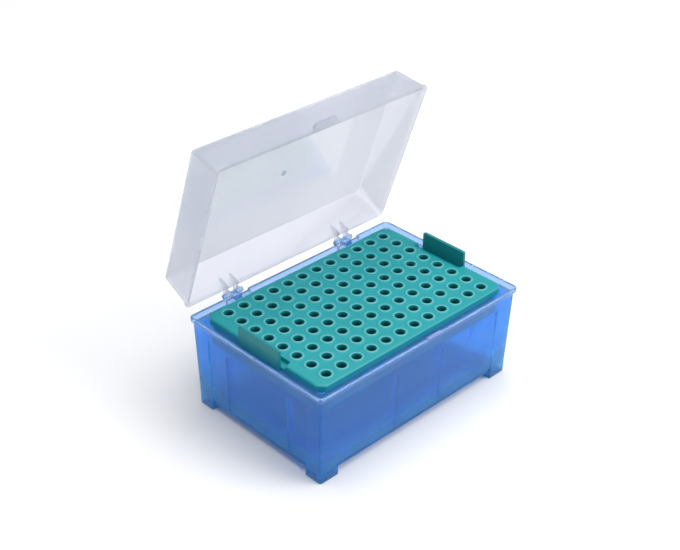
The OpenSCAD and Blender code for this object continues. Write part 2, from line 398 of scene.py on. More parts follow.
@dataclass(frozen=True)
class Plastic:
    """A moulded plastic and its surface.

    colour and shade are the two ends of its flow marks, flow is their number to a metre, grain_mm and
    bump give the orange peel, a tint by the depth attribute paints shade in the holes and on the grips and a
    highlight on the rings' edges, a faint emitted glow of its own colour is painted light for light
    scattered inside it, and a paler colour that it turns to between two heights is painted light on its thin
    rim.
    """

    name: str
    colour: Triple
    shade: Triple
    roughness: float
    transmission: float = 0.0
    ior: float = 1.49
    alpha: float = 1.0
    gloss: float = 0.5
    painted_glow: float = 0.0
    subsurface: float = 0.0
    flow: float = 22.0
    grain_mm: float = 1.2
    bump: float = 0.05
    paints_light_by_depth: bool = False
    pale: Triple | None = None
    pale_mm: Pair = (43.4, 45.2)

    def material(self) -> bpy.types.Material:
        """Build the finish: flow-marked colour, uneven gloss and a fine orange-peel bump.

        Returns:
            The material, on Object coordinates.
        """
        made = bpy.data.materials.new(self.name)
        made.use_nodes = True
        tree = made.node_tree
        shader = tree.nodes["Principled BSDF"]
        self.set_body(shader)
        place = tree.nodes.new("ShaderNodeTexCoord").outputs["Object"]
        flow = tree.nodes.new("ShaderNodeTexNoise")
        flow.inputs["Scale"].default_value = self.flow
        flow.inputs["Detail"].default_value = FLOW_DETAIL
        flow.inputs["Distortion"].default_value = FLOW_BEND
        tree.links.new(place, flow.inputs["Vector"])
        tint = tree.nodes.new("ShaderNodeValToRGB")
        ends = tint.color_ramp.elements
        for end, position, colour in zip(ends, FLOW_ENDS, (self.shade, self.colour)):
            end.position = position
            end.color = (*colour, 1.0)
        tree.links.new(flow.outputs["Fac"], tint.inputs["Fac"])
        colour = tint.outputs["Color"]
        # Painted shade in the holes and on the grips, and a painted highlight on the rings' edges.
        if self.paints_light_by_depth:
            colour = self.paint_shade_and_highlight(tree, colour)
        # Painted light: the thin rim and ledge turn paler between two heights.
        if self.pale:
            colour = self.paint_rim_light(tree, place, colour)
        tree.links.new(colour, shader.inputs["Base Color"])
        self.surface(tree, shader, place, flow.outputs["Fac"])
        return made

    def set_body(self, shader: bpy.types.ShaderNode) -> None:
        """Set how light goes through the plastic.

        Args:
            shader: The material's shader.
        """
        shader.inputs["Transmission Weight"].default_value = self.transmission
        shader.inputs["IOR"].default_value = self.ior
        shader.inputs["Alpha"].default_value = self.alpha
        shader.inputs["Specular IOR Level"].default_value = self.gloss
        # A faint glow in the plastic's own colour is painted light, standing in for the light scattered
        # inside it.
        if self.painted_glow:
            shader.inputs["Emission Color"].default_value = (*self.colour, 1.0)
            shader.inputs["Emission Strength"].default_value = self.painted_glow
        if self.subsurface:
            shader.inputs["Subsurface Weight"].default_value = self.subsurface
            shader.inputs["Subsurface Radius"].default_value = SCATTER
            shader.inputs["Subsurface Scale"].default_value = SCATTER_REACH

    def surface(
        self,
        tree: bpy.types.NodeTree,
        shader: bpy.types.ShaderNode,
        place: bpy.types.NodeSocket,
        flow: bpy.types.NodeSocket,
    ) -> None:
        """Make the gloss uneven along the flow, and lay a fine orange peel over the surface.

        Args:
            tree: The material's nodes.
            shader: Its shader.
            place: Object coordinates.
            flow: The flow's noise.
        """
        low, high = GLOSS_SPREAD
        gloss = tree.nodes.new("ShaderNodeMapRange")
        gloss.inputs["To Min"].default_value = self.roughness * low
        gloss.inputs["To Max"].default_value = self.roughness * high
        tree.links.new(flow, gloss.inputs["Value"])
        tree.links.new(gloss.outputs["Result"], shader.inputs["Roughness"])
        peel = tree.nodes.new("ShaderNodeTexNoise")
        peel.inputs["Scale"].default_value = 1.0 / (self.grain_mm * MM)
        peel.inputs["Detail"].default_value = PEEL_DETAIL
        tree.links.new(place, peel.inputs["Vector"])
        bump = tree.nodes.new("ShaderNodeBump")
        bump.inputs["Strength"].default_value = self.bump
        bump.inputs["Distance"].default_value = PEEL_DEPTH
        tree.links.new(peel.outputs["Fac"], bump.inputs["Height"])
        tree.links.new(bump.outputs["Normal"], shader.inputs["Normal"])

    def paint_shade_and_highlight(self, tree: bpy.types.NodeTree, colour: bpy.types.NodeSocket) -> bpy.types.NodeSocket:
        """Paint light into a colour by the mesh's depth: a painted highlight on the rings' edges, plain on
        the deck, painted shade on the grips and in the holes.

        Args:
            tree: The material's nodes.
            colour: The colour before its tint.

        Returns:
            The tinted colour.
        """
        depth = tree.nodes.new("ShaderNodeAttribute")
        depth.attribute_name = PAINTED_LIGHT_KEY
        ramp = tree.nodes.new("ShaderNodeValToRGB")
        ring, hole = ramp.color_ramp.elements
        ring.color = RING_PAINTED_HIGHLIGHT
        hole.position = FULL_PAINTED_SHADE_AT
        hole.color = HOLE_PAINTED_SHADE
        ramp.color_ramp.elements.new(MOUTH).color = DECK_TINT
        tree.links.new(depth.outputs["Fac"], ramp.inputs["Fac"])
        mix = tree.nodes.new("ShaderNodeMix")
        mix.data_type = "RGBA"
        mix.blend_type = "MULTIPLY"
        mix.inputs[MIX_FACTOR].default_value = 1.0
        tree.links.new(colour, mix.inputs[MIX_FIRST])
        tree.links.new(ramp.outputs["Color"], mix.inputs[MIX_SECOND])
        return mix.outputs[MIX_RESULT]

    def paint_rim_light(
        self, tree: bpy.types.NodeTree, place: bpy.types.NodeSocket, colour: bpy.types.NodeSocket
    ) -> bpy.types.NodeSocket:
        """Blend to a paler colour between two heights, a painted light on the thin rim and the ledge.

        Args:
            tree: The material's nodes.
            place: Object coordinates.
            colour: The colour of the walls.

        Returns:
            The blended colour.
        """
        axes = tree.nodes.new("ShaderNodeSeparateXYZ")
        tree.links.new(place, axes.inputs[0])
        height = tree.nodes.new("ShaderNodeMapRange")
        height.inputs["From Min"].default_value = self.pale_mm[0] * MM
        height.inputs["From Max"].default_value = self.pale_mm[1] * MM
        tree.links.new(axes.outputs["Z"], height.inputs["Value"])
        mix = tree.nodes.new("ShaderNodeMix")
        mix.data_type = "RGBA"
        mix.inputs[MIX_SECOND].default_value = (*self.pale, 1.0)
        tree.links.new(height.outputs["Result"], mix.inputs[MIX_FACTOR])
        tree.links.new(colour, mix.inputs[MIX_FIRST])
        return mix.outputs[MIX_RESULT]

    def dress(self, *pieces: bpy.types.Object) -> None:
        """Give pieces this finish.

        Args:
            pieces: The finished meshes.
        """
        made = bpy.data.materials.get(self.name) or self.material()
        for piece in pieces:
            piece.data.materials.clear()
            piece.data.materials.append(made)


TUB_BLUE = Plastic(
    name="blue_polypropylene",
    colour=(0.045, 0.44, 1.0),
    shade=(0.036, 0.41, 0.97),
    roughness=0.06,
    transmission=0.9,
    ior=1.36,
    alpha=0.88,
    gloss=0.12,
    # Painted light: a faint glow standing in for light scattered through the walls.
    painted_glow=0.03,
    subsurface=1.0,
    bump=0.03,
    # A paler colour on the rim and ledge is painted light.
    pale=(0.36, 0.58, 0.93),
)
CATCH_BLUE = Plastic(
    name="whitened_polypropylene",
    colour=(0.36, 0.42, 0.80),
    shade=(0.32, 0.38, 0.76),
    roughness=0.25,
    transmission=0.3,
    ior=1.36,
    alpha=0.95,
    gloss=0.4,
    subsurface=0.5,
    bump=0.03,
)
RACK_TEAL = Plastic(
    name="teal_polypropylene",
    colour=(0.10, 0.50, 0.545),
    shade=(0.085, 0.46, 0.50),
    roughness=0.42,
    bump=0.12,
    # Painted shade in the holes and on the grips, and painted highlight on the rings' edges, by the depth
    # attribute.
    paints_light_by_depth=True,
)
LID_CLEAR = Plastic(
    name="clear_polypropylene",
    colour=(0.78, 0.805, 0.90),
    shade=(0.75, 0.775, 0.88),
    roughness=0.06,
    transmission=0.78,
    ior=1.42,
    alpha=0.66,
    gloss=0.4,
    bump=0.02,
)


# --------------------------------------------------------------------------- tub


@dataclass
class Tub:
    """The blue tub: walls with posts, panels and ribs, hollow feet, a flanged rim and a ledge.

    rim, wall, lip, seat and post are half sizes, along the length and across the width. Heights in
    pairs run from low to high, and edges and fillets in pairs are (sideways, up or down).
    """

    rim: Pair = (63.55, 43.0)
    rim_r: float = 3.0
    rim_z: float = 47.4
    rim_edge: float = 0.25
    rim_edge_middle: float = 0.08
    flange_z: Pair = (44.45, 45.7)
    flange_slope: Pair = (0.1, 0.3)
    flange_edge: Pair = (0.1, 0.15)
    wall: Pair = (62.3, 41.75)
    wall_r: float = 1.5
    least_r: float = 0.4
    draft: float = 0.03
    wall_t: float = 1.2
    base_edge: float = 0.5
    base_edge_middle: Pair = (0.14, 0.12)
    foot_blend: float = 3.0
    lip: Pair = (62.05, 41.5)
    seat: Pair = (57.2, 36.7)
    seat_edge: float = 0.15
    ledge_z: float = 45.1
    ledge_low: float = 43.9
    ledge_fillet: float = 0.2
    floor_z: Pair = (4.0, 5.4)
    floor_fillet: Pair = (0.7, 0.6)
    floor_fillet_middle: Pair = (0.2, 0.15)
    post: Pair = (50.53, 31.38)
    panel: float = 0.45
    panel_z: float = 39.2
    panel_slope: float = 0.2
    rib_place: Pair = (14.4, 19.9)
    rib_half: float = 0.5
    rib_reach: float = 2.7
    rib_z: float = 34.9
    rib_slope: float = 0.3
    rib_foot: float = 0.4
    notch: Pair = (28.4, 42.4)
    notch_depth: Pair = (1.25, 0.95)
    step: float = 0.1
    more_x: tuple[float, ...] = (0.0, 7.0, 21.0)
    more_y: tuple[float, ...] = (0.0, 10.0, 26.0)
    hinge_x: float = 35.4
    pin_r: float = 1.2
    pin_half: float = 6.0
    pin_bulge: float = 0.6
    pin_tip: float = 8.0
    pin_place: Pair = (45.3, 46.4)
    pin_sides: int = 24
    post_half: float = 2.1
    post_past: float = 0.2
    post_z: Pair = (45.2, 47.1)
    post_cut_low: Pair = (0.5, 0.5)
    post_cut_high: Pair = (0.6, 0.3)
    post_edge: float = 0.25
    catch_x: float = 5.5
    catch_half: float = 4.5
    catch_t: float = 0.8
    catch_h: float = 1.0
    catch_r: float = 0.9
    catch_root: float = 0.3
    catch_inset: float = 0.02
    catch_edge: float = 0.12

    def outside(self, z: float, inset: float = 0.0, **more: float) -> Level:
        """Return the wall's outline at a height: the wall less draft times the distance below its top."""
        lean = self.draft * (self.flange_z[1] - z) + inset
        return grown(self.wall, -lean, max(self.wall_r - inset, self.least_r), z, **more)

    def press(self, along: np.ndarray, across: np.ndarray, level: Level) -> np.ndarray:
        """Work out how far the wall stands in: panels between posts, ribs, and notches at the hinges.

        The depth is panel + rib + notch, each counted only between its own two places.

        Args:
            along: Places along the side.
            across: The sign of y on a long side, and twice the sign of x on a short one.
            level: The outline, with the depth of each at its height.

        Returns:
            The depth at each place.
        """
        long_side = np.abs(across) < 2
        post = np.where(long_side, *self.post)
        rib = np.where(long_side, *self.rib_place)
        place = np.abs(along)
        panel = level.press * band(place, 0.0, post)
        ribs = level.rib * band(place, rib - self.rib_half, rib + self.rib_half)
        return panel + ribs + level.notch * band(place, *self.notch) * long_side * (across > 0)

    def outer_levels(self) -> list[Level]:
        """Return the outlines up the outside, from under the floor to the flange.

        Returns:
            The outlines in order.
        """
        low, panel = self.floor_z[0], self.panel
        side, up = self.base_edge_middle
        out, down = self.flange_slope
        return [
            self.outside(low, self.base_edge, press=panel, drop=low),
            self.outside(low + up, side, press=panel, drop=low),
            self.outside(low + self.base_edge, press=panel, drop=low),
            self.outside(low + self.foot_blend, press=panel),
            self.outside(self.panel_z - self.panel_slope, press=panel),
            self.outside(self.panel_z + self.panel_slope),
            self.outside(self.flange_z[0] - down),
            self.outside(self.flange_z[0] + out, -out),
        ]

    def rim_levels(self) -> list[Level]:
        """Return the outlines up the flange, over the rim and down to the ledge's seat.

        Returns:
            The outlines in order.
        """
        deep, shallow = self.notch_depth
        soft, middle = self.rim_edge, self.rim_edge_middle
        out, up = self.flange_edge
        top, r, fillet = self.rim_z, self.wall_r, self.ledge_fillet
        return [
            grown(self.rim, -out, self.rim_r - out, self.flange_z[1] - out, notch=deep),
            grown(self.rim, 0.0, self.rim_r, self.flange_z[1] + up, notch=deep),
            grown(self.rim, 0.0, self.rim_r, top - soft, notch=deep),
            grown(self.rim, -middle, self.rim_r - middle, top - middle, notch=deep),
            grown(self.rim, -soft, self.rim_r - soft, top, notch=deep),
            grown(self.lip, soft, r + soft, top, notch=shallow),
            grown(self.lip, middle, r, top - middle, notch=shallow),
            grown(self.lip, 0.0, r, top - soft, notch=shallow),
            grown(self.lip, 0.0, r, self.ledge_z + fillet, notch=shallow),
            grown(self.lip, -fillet, r, self.ledge_z, notch=shallow),
            grown(self.seat, self.seat_edge, r, self.ledge_z),
            grown(self.seat, 0.0, r, self.ledge_z - self.seat_edge),
            grown(self.seat, 0.0, r, self.ledge_low),
        ]

    def inner_levels(self) -> list[Level]:
        """Return the outlines down the inside, from under the ledge to the floor.

        Returns:
            The outlines in order.
        """
        low, floor = self.floor_z
        wall, reach = self.wall_t, self.rib_reach
        (side, up), (side_middle, up_middle) = self.floor_fillet, self.floor_fillet_middle
        return [
            self.outside(self.ledge_low, wall),
            self.outside(self.rib_z + self.rib_slope, wall),
            self.outside(self.rib_z, wall, rib=reach),
            self.outside(floor + up, wall, rib=reach),
            self.outside(floor + up_middle, wall + side_middle, rib=reach),
            self.outside(floor, wall + side, rib=reach - self.rib_foot, drop=low),
        ]

    def rib_lines(self, place: float) -> list[float]:
        """Return the grid lines at a rib: its two faces and one step beyond each."""
        near, far = place - self.rib_half, place + self.rib_half
        return [near - self.step, near, far, far + self.step]

    def pin(self, side: Side) -> bpy.types.Object:
        """Build one hinge pin, a turned rod with rounded ends.

        At angle t of its end the rod's radius is pin_r * sin t, at pin_half - pin_bulge * (1 - cos t).

        Args:
            side: Its end of the tub.

        Returns:
            The pin.
        """
        t = np.radians(np.linspace(90.0, self.pin_tip, ARC_STEPS + 1))
        reach = self.pin_half - self.pin_bulge * (1.0 - np.cos(t))
        end = np.column_stack([self.pin_r * np.sin(t), reach])
        points, faces = lathe(np.concatenate([end[::-1] * (1, -1), end]), self.pin_sides)
        lying = np.column_stack([points[:, 2], points[:, 0], points[:, 1]])
        lying += (side.value * self.hinge_x, *self.pin_place)
        return make_piece(f"hinge_pin_{side.name.lower()}", lying, faces, Body.TUB)

    def hinge_post(self, side: Side) -> bpy.types.Object:
        """Build the post that carries one pin: a short bracket with two cut corners.

        Args:
            side: Its end of the tub.

        Returns:
            The post.
        """
        low, high = self.post_z
        back = self.wall[1] - self.wall_t / 2
        front = self.pin_place[0] + self.post_past
        (in_low, up), (in_high, down) = self.post_cut_low, self.post_cut_high
        outline = np.array([
            (back, low), (front - in_low, low), (front, low + up),
            (front, high - down), (front - in_high, high), (back, high),
        ])
        middle = side.value * self.hinge_x
        points, faces = prism(outline, middle - self.post_half, middle + self.post_half, Along.X)
        return make_piece(f"hinge_post_{side.name.lower()}", points, faces, Body.TUB, self.post_edge)

    def catch(self) -> bpy.types.Object:
        """Build the low catch on the front rim, a bar with rounded ends.

        Returns:
            The catch.
        """
        r, half = self.catch_r, self.catch_half
        base, top = self.rim_z - self.catch_root, self.rim_z + self.catch_h
        outline = np.concatenate([
            [(-half, base), (half, base)],
            arc((half - r, top - r), r, 0.0, 90.0, ARC_STEPS),
            arc((r - half, top - r), r, 90.0, 180.0, ARC_STEPS),
        ])
        front = -self.rim[1]
        points, faces = prism(outline, front + self.catch_inset, front + self.catch_t, Along.Z)
        upright = np.column_stack([points[:, 0] + self.catch_x, points[:, 2], points[:, 1]])
        turned = [part[:, ::-1] for part in faces]
        return make_piece("latch_catch", upright, turned, Body.TUB, self.catch_edge)

    def build(self) -> None:
        """Build and dress the tub."""
        (start, end), s = self.notch, self.step
        post_x, post_y = self.post
        rib_x, rib_y = (self.rib_lines(place) for place in self.rib_place)
        xs = both_sides(*self.more_x, *rib_x, start - s, start, end, end + s, post_x, post_x + s)
        ys = both_sides(*self.more_y, *rib_y, post_y, post_y + s)
        levels = self.outer_levels() + self.rim_levels() + self.inner_levels()
        points, faces = skin(levels, xs, ys, self.press)
        shell = make_piece("tub_shell", points, faces, Body.TUB)
        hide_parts(Body.TUB.value)
        hinges = [build(side) for side in Side for build in (self.pin, self.hinge_post)]
        TUB_BLUE.dress(shell, *hinges)
        CATCH_BLUE.dress(self.catch())


# --------------------------------------------------------------------------- rack


@dataclass
class Rack:
    """The teal rack: a deck of ringed holes with sleeves, a skirt and two upright grips.

    half and skirt are half sizes, along the length and across the width, and cut is what a corner loses.
    Edges in pairs are (sideways, up or down).
    """

    cols: int = 12
    rows: int = 8
    pitch: float = 9.0
    side_steps: int = 8
    hole_r: float = 2.3
    mouth_edge: float = 0.3
    mouth_edge_middle: float = 0.08
    ring_r: float = 3.45
    ring_h: float = 0.35
    ring_foot: Pair = (0.25, 0.06)
    ring_crown: Pair = (0.2, 0.02)
    sleeve_r: float = 3.1
    sleeve_low: float = 38.4
    sleeve_edge: float = 0.15
    sleeve_fillet: float = 0.3
    deck_z: float = 48.4
    deck_t: float = 2.0
    half: Pair = (58.1, 37.6)
    cut: Pair = (3.0, 3.5)
    bevel: float = 0.6
    bevel_start: Pair = (0.1, 0.04)
    deck_edge: float = 0.1
    ledge_z: float = 45.1
    skirt: Pair = (56.9, 36.4)
    skirt_low: float = 34.9
    skirt_t: float = 1.3
    skirt_edge: float = 0.15
    grip_half: float = 13.0
    grip_t: float = 1.6
    grip_top: float = 55.2
    grip_r: float = 0.8
    grip_root: float = 0.05
    grip_edge: float = 0.3
    pocket: float = 3.5
    pocket_extra: float = 2.2
    pocket_edge: float = 0.15
    pocket_edge_scale: float = 0.9975
    pocket_floor: float = 0.02

    @property
    def field(self) -> np.ndarray:
        """Return the half sizes of the field of holes."""
        return np.array([self.cols, self.rows]) * self.pitch / 2

    def cell(self) -> tuple[np.ndarray, np.ndarray]:
        """Build one hole's square cell, from the deck's edge over the ring, down the sleeve and back.

        Ring i of the cell is a circle of radius r_i at height z_i, and the first and last rings run
        round the square, whose point k lies in the same direction as point k of each circle.

        Returns:
            The vertices, centred on the hole, and the quads.
        """
        top, low, end = self.deck_z, self.deck_z - self.deck_t, self.sleeve_low
        crown, r, soft = top + self.ring_h, self.hole_r, self.sleeve_edge
        inner = self.ring_r - self.ring_h
        (foot_out, foot_up), (crown_in, crown_up) = self.ring_foot, self.ring_crown
        rings = np.array([
            (self.ring_r + foot_out, top), (self.ring_r, top + foot_up), (inner, crown),
            (inner - crown_in, crown + crown_up), (r + self.mouth_edge, crown),
            (r + self.mouth_edge_middle, crown - self.mouth_edge_middle), (r, crown - self.mouth_edge),
            (r, end + soft), (r + soft, end), (self.sleeve_r - soft, end), (self.sleeve_r, end + soft),
            (self.sleeve_r, low - self.sleeve_fillet), (self.sleeve_r + self.sleeve_fillet, low),
        ])
        side = np.linspace(-1.0, 1.0, self.side_steps + 1)[:-1]
        square = box_walk(side, side, 1.0, 1.0)
        circle = square / np.hypot(square[:, 0], square[:, 1])[:, None]
        edge = square * self.pitch / 2
        flat = [edge] + [circle * radius for radius in rings[:, 0]] + [edge]
        heights = [top, *rings[:, 1], low]
        points = np.concatenate([np.column_stack([p, np.full(len(p), z)]) for p, z in zip(flat, heights)])
        index = np.arange(len(points)).reshape(len(flat), -1)
        return points, ring_quads(index)

    def field_border(self) -> np.ndarray:
        """Return the border of the field of holes, once round, anticlockwise.

        Returns:
            Points (x, y), side_steps to each cell.
        """
        far_x, far_y = self.field
        x = np.linspace(-far_x, far_x, self.cols * self.side_steps + 1)[:-1]
        y = np.linspace(-far_y, far_y, self.rows * self.side_steps + 1)[:-1]
        return box_walk(x, y, far_x, far_y)

    def deck_border(self, loop: np.ndarray) -> tuple[np.ndarray, np.ndarray]:
        """Carry the hole field's border out to the deck's outline.

        Each side's points keep their order and spread evenly along the outline's straight side, with the
        pocket's ends on a point, and each corner point goes to the middle of the cut corner.

        Args:
            loop: The border's points (x, y), once round.

        Returns:
            The outline's points, and which of them are open to a pocket.
        """
        far, half, cut = self.field, np.array(self.half), np.array(self.cut)
        at_x, at_y = (np.abs(np.abs(loop) - far) < TINY).T
        sign = np.sign(loop)
        step = self.pitch / self.side_steps
        straight = half - cut
        low, high = -self.grip_half, self.grip_half + self.pocket_extra
        near = np.round(np.array([low, high]) / step) * step
        turned = loop[:, 1] * sign[:, 0]
        from_y = [-far[1] + step, *near, far[1] - step]
        slide = np.interp(turned, from_y, [-straight[1], low, high, straight[1]])
        spread = loop[:, 0] * straight[0] / (far[0] - step)
        outline = np.column_stack([
            np.where(at_x, sign[:, 0] * half[0], spread),
            np.where(at_x, sign[:, 0] * slide, sign[:, 1] * half[1]),
        ])
        corner = at_x & at_y
        outline[corner] = sign[corner] * (half - cut / 2)
        in_pocket = at_x & ~corner & (turned >= near[0] - TINY) & (turned <= near[1] + TINY)
        return outline, in_pocket

    def side_rings(self, loop: np.ndarray, outline: np.ndarray, in_pocket: np.ndarray) -> np.ndarray:
        """Lay rings from the field's top edge, over the deck's edge, round the skirt and back.

        The ring at half size s is outline * s / half, and where a pocket is open the top's edge stops at
        the pocket's back and drops to its floor.

        Args:
            loop: The border of the field of holes.
            outline: The deck's outline, point for point.
            in_pocket: Which of its points are open to a pocket.

        Returns:
            An array of shape (rings, points, 3).
        """
        top, low = self.deck_z, self.deck_z - self.deck_t
        size, foot = np.array(self.half), np.array(self.skirt)
        inner, soft, b = foot - self.skirt_t, self.skirt_edge, self.bevel
        out, down = self.bevel_start
        pocket = in_pocket[:, None]
        rings: list[np.ndarray] = []

        def ring(flat: np.ndarray, z: float | np.ndarray) -> None:
            """Add one ring."""
            rings.append(np.column_stack([flat, np.broadcast_to(z, len(flat))]))

        def scaled(target: np.ndarray) -> np.ndarray:
            """Return the outline drawn in to a half size."""
            return outline * (target / size)

        back = scaled(size - b)
        back[in_pocket, 0] = np.sign(back[in_pocket, 0]) * (size[0] - self.pocket)
        ring(loop, top)
        ring(back * np.where(pocket, self.pocket_edge_scale, 1.0), top)
        ring(back, np.where(in_pocket, top - self.pocket_edge, top))
        ring(np.where(pocket, back, scaled(size - b + out)),
             np.where(in_pocket, low + self.pocket_floor, top - down))
        ring(np.where(pocket, scaled(size - self.pocket_edge), outline), np.where(in_pocket, low, top - b))
        ring(outline, np.where(in_pocket, low, top - b) - self.deck_edge)
        ring(outline, self.ledge_z + self.deck_edge)
        ring(scaled(size - self.deck_edge), self.ledge_z)
        ring(scaled(foot), self.ledge_z)
        ring(scaled(foot), self.skirt_low + soft)
        ring(scaled(foot - soft), self.skirt_low)
        ring(scaled(inner + soft), self.skirt_low)
        ring(scaled(inner), self.skirt_low + soft)
        ring(scaled(inner), low)
        ring(loop, low)
        return np.stack(rings)

    def depth(self, points: np.ndarray) -> np.ndarray:
        """Work out how deep each vertex lies, for the painted shade and highlight of the finish.

        It is 0 on a ring's edge and MOUTH on the deck, and MOUTH + (1 - MOUTH) * fall inside a hole,
        where fall goes from 0 at the deck's top to 1 at the sleeve's end.

        Args:
            points: The deck's vertices in millimetres.

        Returns:
            The depths.
        """
        odd = np.array([self.cols, self.rows]) % 2 * self.pitch / 2
        off = np.mod(points[:, :2] - odd, self.pitch) - self.pitch / 2
        inside = np.all(np.abs(points[:, :2]) < self.field, axis=1)
        in_hole = inside & (np.hypot(off[:, 0], off[:, 1]) < self.hole_r + self.mouth_edge_middle / 2)
        fall = np.clip((self.deck_z - points[:, 2]) / (self.deck_z - self.sleeve_low), 0.0, 1.0)
        depth = MOUTH + (1.0 - MOUTH) * fall * in_hole
        on_ring = points[:, 2] > self.deck_z + RING_SHARE * self.ring_h
        return np.where(on_ring, 0.0, depth)

    def deck(self) -> bpy.types.Object:
        """Build the deck with its holes, sleeves and skirt as one closed skin.

        Returns:
            The deck.
        """
        cell, quads = self.cell()
        x = (np.arange(self.cols) - (self.cols - 1) / 2) * self.pitch
        y = (np.arange(self.rows) - (self.rows - 1) / 2) * self.pitch
        places = np.stack(np.meshgrid(x, y, 0.0, indexing="ij"), axis=-1).reshape(-1, 3)
        points = (places[:, None, :] + cell).reshape(-1, 3)
        faces = (np.arange(len(places))[:, None, None] * len(cell) + quads).reshape(-1, 4)
        loop = self.field_border()
        rings = self.side_rings(loop, *self.deck_border(loop))
        index = len(points) + np.arange(rings[..., 0].size).reshape(rings.shape[:2])
        points = np.concatenate([points, rings.reshape(-1, 3)])
        points, faces = weld(points, np.concatenate([faces, ring_quads(index)[:, ::-1]]))
        deck = make_piece("rack_deck", points, open_faces(faces), Body.RACK)
        # Depths from which the finish paints shade in the holes and a highlight on the rings' edges.
        store_painted_light(deck, self.depth(points))
        return deck

    def grip(self, side: Side) -> bpy.types.Object:
        """Build one upright grip: a plate with rounded upper corners.

        Args:
            side: Its end of the rack.

        Returns:
            The plate.
        """
        half, r, top = self.grip_half, self.grip_r, self.grip_top
        outline = np.concatenate([
            [(-half, self.ledge_z), (half, self.ledge_z)],
            arc((half - r, top - r), r, 0.0, 90.0, ARC_STEPS - 1),
            arc((r - half, top - r), r, 90.0, 180.0, ARC_STEPS - 1),
        ])
        faces_x = (self.half[0] - self.grip_root, self.half[0] + self.grip_t)
        low, high = sorted(side.value * x for x in faces_x)
        points, faces = prism(outline, low, high, Along.X)
        plate = make_piece(f"grip_{side.name.lower()}", points, faces, Body.RACK, self.grip_edge)
        # A fixed depth between the deck's and the holes' paints the grips darker, a painted shade on their
        # upright sides.
        store_painted_light(plate, np.full(len(points), GRIP_PAINTED_SHADE))
        return plate

    def build(self) -> None:
        """Build and dress the rack."""
        deck = self.deck()
        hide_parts(Body.RACK.value)
        RACK_TEAL.dress(deck, self.grip(Side.RIGHT), self.grip(Side.LEFT))


# --------------------------------------------------------------------------- lid


